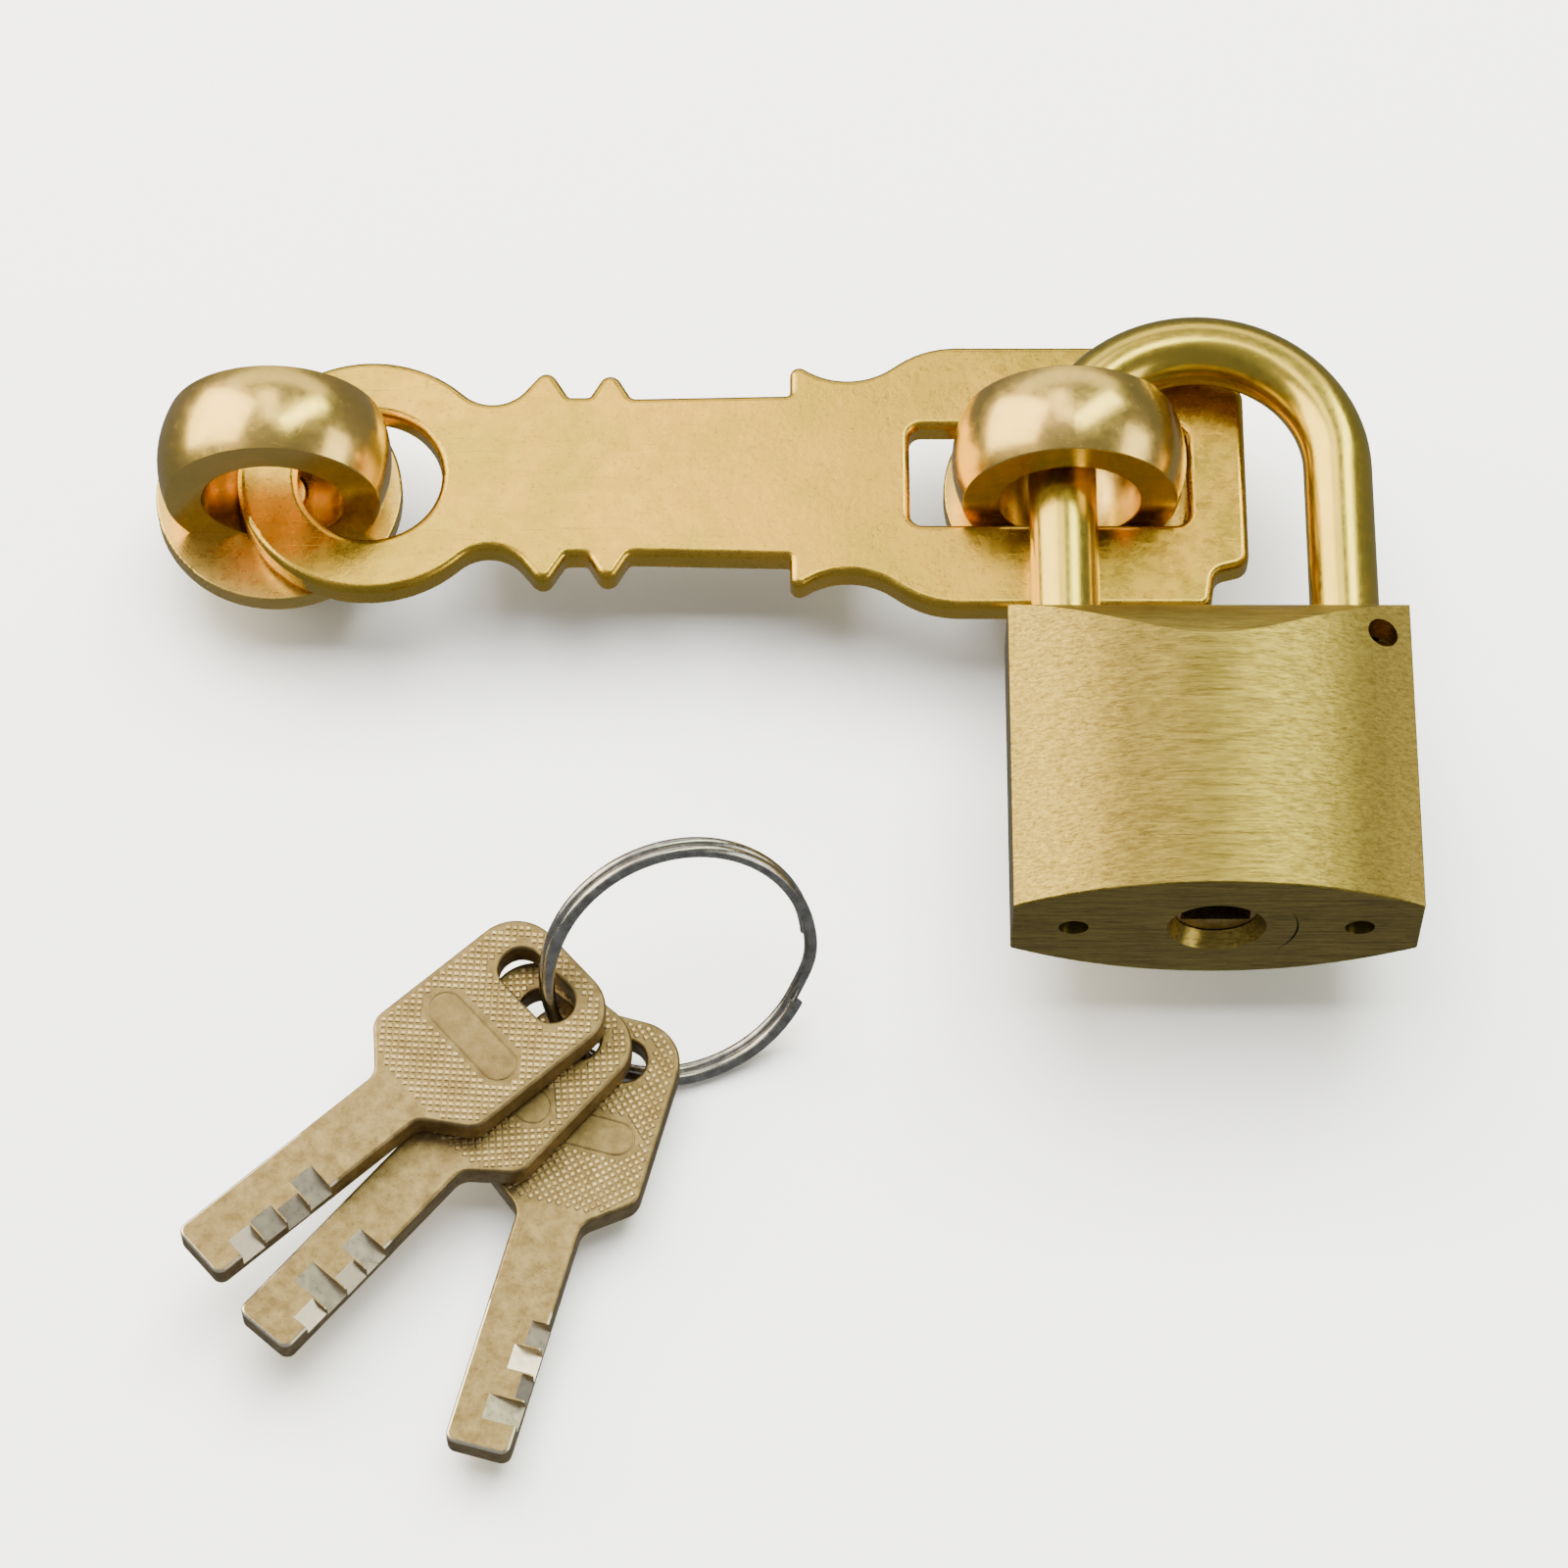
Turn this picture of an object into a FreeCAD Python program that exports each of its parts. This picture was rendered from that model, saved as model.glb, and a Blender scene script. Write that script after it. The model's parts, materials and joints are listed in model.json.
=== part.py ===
# Brass hasp and two ball staples, closed with a brass padlock, and its three keys on a split ring.
# Millimetres. X runs along the strap from the hinge staple to the lock staple, Y runs up the door,
# Z points out of the door. The origin is the hinge staple's axis on the door's face (z = 0).
import FreeCAD
import Part
import math
import os

from FreeCAD import Placement, Rotation, Vector

doc = FreeCAD.newDocument("HaspAndPadlock")

# ---------------------------------------------------------------- driving dimensions
SIZES = {
    # staples: a ball with a cross bore, turned in one piece with its flange, and a threaded stud
    "lock_staple_x": 80.0,
    "flange_radius": 12.5,
    "flange_thick": 2.2,
    "ball_radius": 11.8,
    "ball_lift": 6.2,
    "ball_half_width": 4.8,
    "eye_radius": 7.1,
    "stud_radius": 5.0,
    "stud_length": 10.0,
    "stud_thread_radius": 2.5,
    "stud_thread_depth": 8.0,
    "shank_radius": 3.0,
    "peen_height": 0.6,
    "peen_taper": 0.4,
    "thread_lead": 0.5,
    "seat_depth": 0.5,
    "seat_clearance": 0.2,
    "flange_rounding": 0.25,
    "eye_rounding": 0.15,
    "stud_rounding": 0.4,
    # strap
    "strap_gap": 0.3,
    "strap_thick": 3.3,
    "strap_rounding": 0.8,
    "ring_centre_x": 9.4,
    "ring_outer_radius": 13.4,
    "ring_hole_radius": 7.3,
    "strap_end_x": 98.0,
    "slot_start_x": 64.0,
    "slot_length": 28.0,
    "slot_width": 11.3,
    # padlock
    "toe_x": 79.2,
    "padlock_z": 10.3,
    "leg_spacing": 27.6,
    "shackle_radius": 3.45,
    "bow_centre_y": -2.0,
    "body_width": 39.5,
    "body_depth": 19.8,
    "body_side_depth": 9.2,
    "body_top_y": -19.0,
    "body_height": 34.0,
    "body_dome_drop": 1.0,
    "body_rounding": 0.2,
    "body_dome_extra": 0.6,
    "leg_hole_radius": 3.65,
    "toe_hole_depth": 14.0,
    "heel_hole_depth": 29.0,
    "toe_depth": 12.5,
    "heel_depth": 23.0,
    "drain_radius": 1.45,
    "shell_radius": 7.8,
    "shell_length": 24.7,
    "shell_bore_radius": 6.0,
    "core_radius": 5.9,
    "disc_radius": 4.6,
    "disc_thick": 1.5,
    "spacer_thick": 0.5,
    "disc_count": 6.0,
    "key_blade_width": 6.4,
    "key_thick": 3.0,
    "retaining_pin_radius": 1.3,
    "retaining_pin_offset": 3.0,
    "retaining_pin_drop": 5.0,
    "retaining_pin_length": 6.5,
    "retaining_pin_back": 4.5,
    "pin_hole_length": 10.0,
    "unlock_travel": 10.0,
    "latch_travel": 3.0,
    "latch_engage": 2.2,
    "latch_height": 3.0,
    "latch_width": 5.0,
    "cam_pin_radius": 0.9,
    "cam_angle": 135.0,
    "mouth_lip": 1.6,
    "mouth_radius": 4.0,
    "mouth_flare": 0.8,
    "end_gap": 0.1,
    "part_clearance": 0.2,
    "keyway_clearance": 0.15,
    "disc_start": 1.2,
    "disc_play": 0.04,
    "disc_gate_width": 1.8,
    "disc_gate_depth": 0.45,
    "spacer_gate_depth": 0.6,
    "sidebar_width": 1.4,
    "sidebar_height": 1.5,
    "sidebar_rise": 4.3,
    "core_slot_width": 1.6,
    "core_slot_rise": 3.9,
    "latch_rear_length": 7.4,
    "latch_rear_width": 8.0,
    "latch_rear_start": 5.0,
    "shackle_spring_radius": 2.6,
    "shackle_spring_wire": 0.4,
    "latch_spring_radius": 1.2,
    "latch_spring_wire": 0.25,
    "latch_spring_length": 4.7,
    "spring_turns": 4.0,
    # keys
    "key_length": 47.0,
    "head_length": 22.0,
    "head_width": 15.6,
    "key_slot_length": 9.0,
    "key_slot_width": 4.4,
    "key_slot_inset": 4.6,
    "key_gap": 0.2,
    "key_softening": 0.35,
    "facet_length": 2.6,
    "facet_gap": 0.15,
    "facet_start": 3.0,
    "cutter_side": 8.0,
    # split ring
    "wire_radius": 0.65,
    "split_ring_radius": 13.2,
    "ring_lean": 60.0,
    "ring_turn": 17.5,
    "ring_rise": 1.1,
    "turn_gap": 0.05,
    "jog_sweep": 30.0,
    "jog_end_gap": 1.0,
    "ring_end_angle": -35.0,
    "lowest_key_drop": 8.4,
    "table_z": -10.2,
}

sheet = doc.addObject("Spreadsheet::Sheet", "Sizes")
for row, (alias, value) in enumerate(SIZES.items(), start=1):
    sheet.set(f"A{row}", alias)
    sheet.set(f"B{row}", str(value))
    sheet.setAlias(f"B{row}", alias)
doc.recompute()


# ---------------------------------------------------------------- small helpers
def size(alias):
    """The number held by a cell of the sheet."""
    return float(sheet.get(alias))


def bind(piece, **expressions):
    """Ties properties of a piece to the sheet."""
    for prop, expression in expressions.items():
        piece.setExpression(prop, expression)


def placed(piece, at, axis=(0, 0, 1)):
    """Puts a piece's own +Z along axis, with its base point at a place."""
    piece.Placement = Placement(Vector(*at), Rotation(Vector(0, 0, 1), Vector(*axis)))
    return piece


def cylinder(name, radius, height, at, axis=(0, 0, 1)):
    piece = doc.addObject("Part::Cylinder", name)
    bind(piece, Radius=radius, Height=height)
    return placed(piece, at, axis)


def cone(name, radius_low, radius_high, height, at, axis=(0, 0, 1)):
    piece = doc.addObject("Part::Cone", name)
    bind(piece, Radius1=radius_low, Radius2=radius_high, Height=height)
    return placed(piece, at, axis)


def box(name, length, width, height, corner):
    piece = doc.addObject("Part::Box", name)
    bind(piece, Length=length, Width=width, Height=height)
    return placed(piece, corner)


def joined(name, *pieces):
    piece = doc.addObject("Part::MultiFuse", name)
    piece.Shapes = list(pieces)
    piece.Refine = True
    return piece


def cut(name, base, *tools):
    """base less its tools."""
    tool = tools[0]
    if len(tools) > 1:
        tool = doc.addObject("Part::MultiFuse", name + "_tools")
        tool.Shapes = list(tools)
    piece = doc.addObject("Part::Cut", name)
    piece.Base = base
    piece.Tool = tool
    piece.Refine = True
    return piece


def common(name, first, second):
    piece = doc.addObject("Part::Common", name)
    piece.Base = first
    piece.Tool = second
    piece.Refine = True
    return piece


def softened(name, base, radius, chosen=lambda edge: True):
    """The base with its chosen edges rounded by a size of the sheet."""
    doc.recompute()
    piece = doc.addObject("Part::Fillet", name)
    piece.Base = base
    amount = size(radius)
    piece.Edges = [(number, amount, amount)
                   for number, edge in enumerate(base.Shape.Edges, start=1) if chosen(edge)]
    return piece


def is_level_rim(edge, z):
    """Whether an edge is a round one that lies flat at a height."""
    box_of_edge = edge.BoundBox
    return box_of_edge.ZLength < 0.01 and abs(box_of_edge.ZMin - z) < 0.01


def line(start, end):
    return Part.LineSegment(Vector(*start, 0), Vector(*end, 0))


def arc(start, middle, end):
    return Part.Arc(Vector(*start, 0), Vector(*middle, 0), Vector(*end, 0))


def circle(centre, radius):
    return Part.Circle(Vector(*centre, 0), Vector(0, 0, 1), radius)


def sketch(name, edges, rotation=Rotation(), origin=(0, 0, 0)):
    piece = doc.addObject("Sketcher::SketchObject", name)
    piece.addGeometry(edges, False)
    piece.Placement = Placement(Vector(*origin), rotation)
    return piece


def extruded(name, profile, direction, length):
    piece = doc.addObject("Part::Extrusion", name)
    piece.Base = profile
    piece.DirMode = "Custom"
    piece.Dir = Vector(*direction)
    piece.Solid = True
    bind(piece, LengthFwd=length)
    return piece


ONTO_XZ = Rotation(Vector(1, 0, 0), 90)
ONTO_YZ = Rotation(Vector(1, 1, 1), 120)
UP_DOOR = (0, 1, 0)
nodes = []


def node(piece, label):
    """Marks a finished sub-part and gives it its own name."""
    piece.Label = label
    nodes.append(piece)
    return piece


# ---------------------------------------------------------------- staples
FLANGE_TOP = size("flange_thick")
BALL_Z = FLANGE_TOP + size("ball_lift")
# the ball's own axis lies along the bore, with its seam at the top
ACROSS_BALL = Rotation(Vector(0, 0, 1), Vector(1, 0, 0), Vector(0, 1, 0), "ZXY")


def staple(prefix, x):
    """A ball eye on a round flange, and the threaded stud peened into the eye's floor."""
    half = size("ball_half_width")
    ball = doc.addObject("Part::Sphere", prefix + "_ball")
    zone = "asin(Sizes.ball_half_width / Sizes.ball_radius)"
    bind(ball, Radius="Sizes.ball_radius", Angle1="-" + zone, Angle2=zone)
    ball.Placement = Placement(Vector(x, 0, BALL_Z), ACROSS_BALL)
    below = box(prefix + "_below", "Sizes.ball_radius * 2", "Sizes.ball_half_width * 2",
                "Sizes.ball_radius",
                (x - size("ball_radius"), -half, FLANGE_TOP - size("ball_radius")))
    eye = cut(prefix + "_ball_cut", ball, below)
    disc = cylinder(prefix + "_disc", "Sizes.flange_radius", "Sizes.flange_thick", (x, 0, 0))
    flange = softened(prefix + "_flange", disc, "flange_rounding", lambda edge: len(edge.Vertexes) == 1)
    bore = cylinder(prefix + "_bore", "Sizes.eye_radius", "Sizes.ball_half_width * 2",
                    (x, -half, BALL_Z), UP_DOOR)
    shank_hole = cylinder(prefix + "_shank_hole", "Sizes.shank_radius", "Sizes.flange_thick", (x, 0, 0))
    # the stud's shoulder sinks into this seat, so the flange's back is clear round the stud
    seat = cylinder(prefix + "_seat", "Sizes.stud_radius + Sizes.seat_clearance", "Sizes.seat_depth",
                    (x, 0, 0))
    bored = cut(prefix + "_bored", eye, bore)
    rimmed = softened(prefix + "_rimmed", bored, "eye_rounding",
                      lambda edge: edge.BoundBox.YLength < 0.01 and edge.BoundBox.ZLength > 1)
    turned = joined(prefix + "_turned", rimmed, flange)
    node(cut(prefix + "_eye", turned, bore, shank_hole, seat), prefix + "_eye")

    floor_z = BALL_Z - size("eye_radius")
    stud_end = -size("stud_length")
    rod = cylinder(prefix + "_rod", "Sizes.stud_radius", "Sizes.stud_length", (x, 0, stud_end))
    barrel = softened(prefix + "_barrel", rod, "stud_rounding", lambda edge: is_level_rim(edge, stud_end))
    shoulder = cylinder(prefix + "_shoulder", "Sizes.stud_radius - Sizes.seat_clearance",
                        "Sizes.seat_depth", (x, 0, 0))
    shank = cylinder(prefix + "_shank", "Sizes.shank_radius", f"{floor_z}", (x, 0, 0))
    head = cone(prefix + "_head", "Sizes.shank_radius", "Sizes.shank_radius - Sizes.peen_taper",
                "Sizes.peen_height", (x, 0, floor_z))
    thread = cylinder(prefix + "_thread", "Sizes.stud_thread_radius", "Sizes.stud_thread_depth",
                      (x, 0, stud_end))
    lead = cone(prefix + "_lead", "Sizes.stud_thread_radius + Sizes.thread_lead", "Sizes.stud_thread_radius",
                "Sizes.thread_lead", (x, 0, stud_end))
    solid = joined(prefix + "_stud_solid", barrel, shoulder, shank, head)
    node(cut(prefix + "_stud", solid, thread, lead), prefix + "_stud")


staple("hinge_staple", 0.0)
staple("lock_staple", size("lock_staple_x"))

# ---------------------------------------------------------------- strap
STRAP_Z = FLANGE_TOP + size("strap_gap")


def rounded_path(corners, closed=False):
    """Lines through (x, y, radius) corners, each corner turned by a tangent arc of its radius."""
    count = len(corners)
    points = [Vector(x, y, 0) for x, y, _ in corners]
    joints = []
    for index, (_, _, radius) in enumerate(corners):
        inner = closed or 0 < index < count - 1
        if not inner or radius == 0:
            joints.append((points[index], None, points[index]))
            continue
        back = (points[index - 1] - points[index]).normalize()
        ahead = (points[(index + 1) % count] - points[index]).normalize()
        half_angle = math.acos(max(-1, min(1, back.dot(ahead)))) / 2
        reach = radius / math.tan(half_angle)
        middle = (back + ahead).normalize()
        crown = points[index] + middle * (radius / math.sin(half_angle) - radius)
        joints.append((points[index] + back * reach, crown, points[index] + ahead * reach))
    edges = []
    for index in range(count):
        enter, crown, leave = joints[index]
        if crown:
            edges.append(Part.Arc(enter, crown, leave))
        if index + 1 < count or closed:
            edges.append(Part.LineSegment(leave, joints[(index + 1) % count][0]))
    return edges


def strap_outline():
    """The ring's arc, and the shaped edges from the ring round the far end and back."""
    ring_x = size("ring_centre_x")
    ring_r = size("ring_outer_radius")
    far_x = size("strap_end_x")
    # the neck's line leaves the ring as a tangent, at this angle above the centre line
    leave = math.radians(47)
    touch = (ring_x + ring_r * math.cos(leave), ring_r * math.sin(leave))
    neck_run = 4.85
    neck = (touch[0] + neck_run * math.sin(leave), touch[1] - neck_run * math.cos(leave))
    valley = 9.3
    bump_point = 12.95
    half_width = 15.2
    corners = [
        (*touch, 0),
        (*neck, 4.2),
        (27.2, bump_point, 1.15),
        (29.4, valley, 0.5),
        (31.5, valley, 0.5),
        (33.6, bump_point, 1.15),
        (35.8, valley - 0.15, 0.8),
        (51.9, valley + 0.2, 0.4),
        (51.9, 13.6, 0.95),
        (58.0, 9.7, 7.5),
        (65.6, half_width, 10.0),
        (far_x - 4.0, half_width, 1.3),
        (far_x - 3.4, 11.2, 1.4),
        (far_x, 10.3, 1.6),
    ]
    lower = [(x, -y, radius) for x, y, radius in reversed(corners)]
    ring_arc = arc((touch[0], -touch[1]), (ring_x - ring_r, 0), touch)
    return [ring_arc] + rounded_path(corners + lower)


strap_body = doc.addObject("PartDesign::Body", "strap_body")
strap_plane = next(o for o in strap_body.Origin.OriginFeatures if o.Role == "XY_Plane")
outline = strap_body.newObject("Sketcher::SketchObject", "strap_outline")
outline.AttachmentSupport = [(strap_plane, "")]
outline.MapMode = "FlatFace"
outline.AttachmentOffset = Placement(Vector(0, 0, STRAP_Z), Rotation())
outline.addGeometry(strap_outline(), False)
outline.addGeometry([circle((size("ring_centre_x"), 0), size("ring_hole_radius"))], False)
slot_start = size("slot_start_x")
slot_end = slot_start + size("slot_length")
slot_half = size("slot_width") / 2
slot_corners = [
    (slot_start, -slot_half, 1.3),
    (slot_end, -slot_half, 1.3),
    (slot_end, slot_half, 1.3),
    (slot_start, slot_half, 1.3),
]
outline.addGeometry(rounded_path(slot_corners, closed=True), False)
plate = strap_body.newObject("PartDesign::Pad", "strap_plate")
plate.Profile = outline
bind(plate, Length="Sizes.strap_thick")
doc.recompute()
rims = [
    f"Edge{number}"
    for number, edge in enumerate(plate.Shape.Edges, start=1)
    if edge.BoundBox.ZLength < 0.01
]
rounding = strap_body.newObject("PartDesign::Fillet", "strap_rounding")
rounding.Base = (plate, rims)
bind(rounding, Radius="Sizes.strap_rounding")
node(strap_body, "strap")

# ---------------------------------------------------------------- padlock: common places
PAD_Z = size("padlock_z")
TOE_X = size("toe_x")
HEEL_X = TOE_X + size("leg_spacing")
MID_X = TOE_X + size("leg_spacing") / 2
TOP_Y = size("body_top_y")
BOTTOM_Y = TOP_Y - size("body_height")
BOW_Y = size("bow_centre_y")
DOWN_DOOR = (0, -1, 0)
SHELL_TOP_Y = BOTTOM_Y + size("shell_length")
LATCH_LIFT = 0.6
CLEAR = size("part_clearance")
LATCH_Y = SHELL_TOP_Y + LATCH_LIFT
PIN_Y = TOP_Y - size("retaining_pin_drop")
PIN_X = HEEL_X + size("retaining_pin_offset")
PIN_Z = PAD_Z - size("retaining_pin_back")


# ---------------------------------------------------------------- shackle
def make_shackle():
    """A round bar bent to a U; the toe is notched for the latch, the heel is grooved for its pin."""
    radius = size("shackle_radius")
    toe_leg = cylinder("toe_leg", "Sizes.shackle_radius",
                       "Sizes.bow_centre_y - Sizes.body_top_y + Sizes.toe_depth",
                       (TOE_X, BOW_Y, PAD_Z), DOWN_DOOR)
    heel_leg = cylinder("heel_leg", "Sizes.shackle_radius",
                        "Sizes.bow_centre_y - Sizes.body_top_y + Sizes.heel_depth",
                        (HEEL_X, BOW_Y, PAD_Z), DOWN_DOOR)
    bow = doc.addObject("Part::Torus", "bow")
    bind(bow, Radius1="Sizes.leg_spacing / 2", Radius2="Sizes.shackle_radius")
    bow.Angle3 = 180
    bow.Placement.Base = Vector(MID_X, BOW_Y, PAD_Z)
    bar = joined("shackle_bar", toe_leg, heel_leg, bow)

    toe_end = TOP_Y - size("toe_depth")
    deep = TOE_X + radius - size("latch_engage") - CLEAR
    roof = LATCH_Y + size("latch_height") + CLEAR
    floor = LATCH_Y - CLEAR
    ramp = size("latch_travel") / size("unlock_travel")
    outside = TOE_X + radius + 1
    notch_outline = rounded_path([
        (outside, roof, 0),
        (deep, roof, 0),
        (deep, floor, 0),
        (deep + ramp * (floor - toe_end + 1), toe_end - 1, 0),
        (outside, toe_end - 1, 0),
    ], closed=True)
    notch_sketch = sketch("notch_sketch", notch_outline, origin=(0, 0, PAD_Z - radius - 1))
    notch = extruded("notch", notch_sketch, (0, 0, 1), "Sizes.shackle_radius * 2 + 2")

    pin_r = size("retaining_pin_radius")
    pin_play = 0.3
    groove_top = PIN_Y + pin_r + pin_play
    groove_end = PIN_Y - size("unlock_travel") - pin_r - pin_play
    keep = size("retaining_pin_offset") - pin_r - size("end_gap")
    groove = box("heel_groove", "Sizes.shackle_radius * 2", f"{groove_top - groove_end}",
                 "Sizes.shackle_radius * 2 + 2", (HEEL_X + keep, groove_end, PAD_Z - radius - 1))
    ring_height = 2 * (pin_r + pin_play)
    ring_outer = cylinder("heel_ring_outer", "Sizes.shackle_radius + 1", f"{ring_height}",
                          (HEEL_X, groove_end, PAD_Z), UP_DOOR)
    ring_core = cylinder("heel_ring_core", f"{keep}", f"{ring_height}", (HEEL_X, groove_end, PAD_Z),
                         UP_DOOR)
    heel_ring = cut("heel_ring", ring_outer, ring_core)
    node(cut("shackle_solid", bar, notch, groove, heel_ring), "shackle")


make_shackle()


# ---------------------------------------------------------------- padlock body
def make_body():
    """Brass block with bulged faces and a rounded top, bored for the legs, cylinder, latch and pin."""
    half = size("body_width") / 2
    side = size("body_side_depth") / 2
    deep = size("body_depth") / 2
    lens = sketch("body_section", [
        arc((-half, side), (0, deep), (half, side)),
        line((half, side), (half, -side)),
        arc((half, -side), (0, -deep), (-half, -side)),
        line((-half, -side), (-half, side)),
    ], ONTO_XZ, (MID_X, BOTTOM_Y, PAD_Z))
    prism = extruded("body_prism", lens, UP_DOOR, "Sizes.body_height")
    block = softened("body_block", prism, "body_rounding")

    dome_r = deep + size("body_dome_extra")
    spring_y = TOP_Y - dome_r
    dome_sketch = sketch("body_dome_profile", [
        line((BOTTOM_Y - 1, -dome_r), (spring_y, -dome_r)),
        arc((spring_y, -dome_r), (TOP_Y, 0), (spring_y, dome_r)),
        line((spring_y, dome_r), (BOTTOM_Y - 1, dome_r)),
        line((BOTTOM_Y - 1, dome_r), (BOTTOM_Y - 1, -dome_r)),
    ], ONTO_YZ, (MID_X - half - 1, 0, PAD_Z))
    dome = extruded("body_dome", dome_sketch, (1, 0, 0), "Sizes.body_width + 2")
    domed = common("body_domed", block, dome)

    drop = size("body_dome_drop")
    shoulder = 4.5
    bend = 2.0
    bend_drop = drop * 0.3
    front_sketch = sketch("body_front_profile", [
        line((-half + shoulder, TOP_Y), (half - shoulder, TOP_Y)),
        arc((half - shoulder, TOP_Y), (half - bend, TOP_Y - bend_drop), (half, TOP_Y - drop)),
        line((half, TOP_Y - drop), (half, BOTTOM_Y)),
        line((half, BOTTOM_Y), (-half, BOTTOM_Y)),
        line((-half, BOTTOM_Y), (-half, TOP_Y - drop)),
        arc((-half, TOP_Y - drop), (-half + bend, TOP_Y - bend_drop), (-half + shoulder, TOP_Y)),
    ], origin=(MID_X, 0, PAD_Z - deep - 1))
    front = extruded("body_front", front_sketch, (0, 0, 1), "Sizes.body_depth + 2")
    blank = common("body_blank", domed, front)

    tools = [
        cylinder("toe_hole", "Sizes.leg_hole_radius", "Sizes.toe_hole_depth", (TOE_X, TOP_Y, PAD_Z),
                 DOWN_DOOR),
        cylinder("heel_hole", "Sizes.leg_hole_radius", "Sizes.heel_hole_depth", (HEEL_X, TOP_Y, PAD_Z),
                 DOWN_DOOR),
        cylinder("toe_drain", "Sizes.drain_radius", "Sizes.body_height", (TOE_X, BOTTOM_Y, PAD_Z), UP_DOOR),
        cylinder("heel_drain", "Sizes.drain_radius", "Sizes.body_height", (HEEL_X, BOTTOM_Y, PAD_Z),
                 UP_DOOR),
        cylinder("cylinder_bore", "Sizes.shell_radius",
                 f"Sizes.shell_length + Sizes.latch_height + {2 * LATCH_LIFT}",
                 (MID_X, BOTTOM_Y, PAD_Z), UP_DOOR),
        box("latch_channel", "Sizes.leg_spacing / 2", f"Sizes.latch_height + {2 * LATCH_LIFT}",
            "Sizes.latch_width + Sizes.part_clearance * 2",
            (TOE_X, SHELL_TOP_Y, PAD_Z - size("latch_width") / 2 - CLEAR)),
        cylinder("pin_hole", "Sizes.retaining_pin_radius", "Sizes.pin_hole_length", (PIN_X, PIN_Y, PIN_Z)),
        cylinder("pin_counterbore", "Sizes.retaining_pin_radius + Sizes.part_clearance",
                 "Sizes.pin_hole_length", (PIN_X, PIN_Y, PIN_Z + size("retaining_pin_length"))),
    ]
    node(cut("padlock_body_solid", blank, *tools), "padlock_body")


make_body()
node(cylinder("pin_rod", "Sizes.retaining_pin_radius", "Sizes.retaining_pin_length", (PIN_X, PIN_Y, PIN_Z)),
     "shackle_retaining_pin")


# ---------------------------------------------------------------- springs
def coil(label, radius, wire, length, at, axis):
    """A plain helical spring, standing at a place along an axis."""
    helix = doc.addObject("Part::Helix", label + "_helix")
    helix.Radius = radius
    helix.Height = length - 2 * wire
    helix.Pitch = (length - 2 * wire) / size("spring_turns")
    section = doc.addObject("Part::Circle", label + "_section")
    section.Radius = wire
    section.Placement = Placement(Vector(radius, 0, 0), Rotation(Vector(1, 0, 0), 90))
    spring = doc.addObject("Part::Sweep", label + "_sweep")
    spring.Sections = [section]
    spring.Spine = (helix, ["Edge1"])
    spring.Solid = True
    spring.Frenet = True
    doc.recompute()
    shape = doc.addObject("Part::Feature", label + "_coil")
    shape.Shape = spring.Shape
    turn = Rotation(Vector(0, 0, 1), Vector(*axis))
    start = Vector(*at) + Vector(*axis) * wire
    shape.Placement = Placement(start, turn)
    return node(shape, label)


HEEL_END_Y = TOP_Y - size("heel_depth")
HEEL_FLOOR_Y = TOP_Y - size("heel_hole_depth")
SPRING_GAP = 0.05
coil("shackle_spring", size("shackle_spring_radius"), size("shackle_spring_wire"),
     HEEL_END_Y - HEEL_FLOOR_Y - 2 * SPRING_GAP, (HEEL_X, HEEL_FLOOR_Y + SPRING_GAP, PAD_Z), UP_DOOR)


# ---------------------------------------------------------------- lock cylinder
def keyway(name, y, length):
    """The key's rectangular passage."""
    return box(name, "Sizes.key_blade_width + Sizes.keyway_clearance * 2", length,
               "Sizes.key_thick + Sizes.keyway_clearance * 2",
               (MID_X - size("key_blade_width") / 2 - size("keyway_clearance"), y,
                PAD_Z - size("key_thick") / 2 - size("keyway_clearance")))


LIP = size("mouth_lip")
END_GAP = size("end_gap")
CORE_Y = BOTTOM_Y + LIP + END_GAP
DISC_START_Y = CORE_Y + size("disc_start")
DISC_PITCH = size("disc_thick") + size("spacer_thick") + size("disc_play")
DISC_COUNT = int(size("disc_count"))
STACK_LENGTH = DISC_COUNT * DISC_PITCH
CHAMBER_R = size("disc_radius") + END_GAP
CAM_ANGLE = math.radians(size("cam_angle"))


def make_shell():
    """The pressed-in sleeve: a mouth with a coned lip, and the bore that the core turns in."""
    sleeve = cylinder("sleeve", "Sizes.shell_radius", "Sizes.shell_length", (MID_X, BOTTOM_Y, PAD_Z),
                      UP_DOOR)
    bore = cylinder("sleeve_bore", "Sizes.shell_bore_radius", "Sizes.shell_length",
                    (MID_X, BOTTOM_Y + LIP, PAD_Z), UP_DOOR)
    mouth = cone("sleeve_mouth", "Sizes.mouth_radius + Sizes.mouth_flare", "Sizes.mouth_radius",
                 "Sizes.mouth_lip", (MID_X, BOTTOM_Y, PAD_Z), UP_DOOR)
    node(cut("sleeve_solid", sleeve, bore, mouth), "cylinder_shell")


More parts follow.
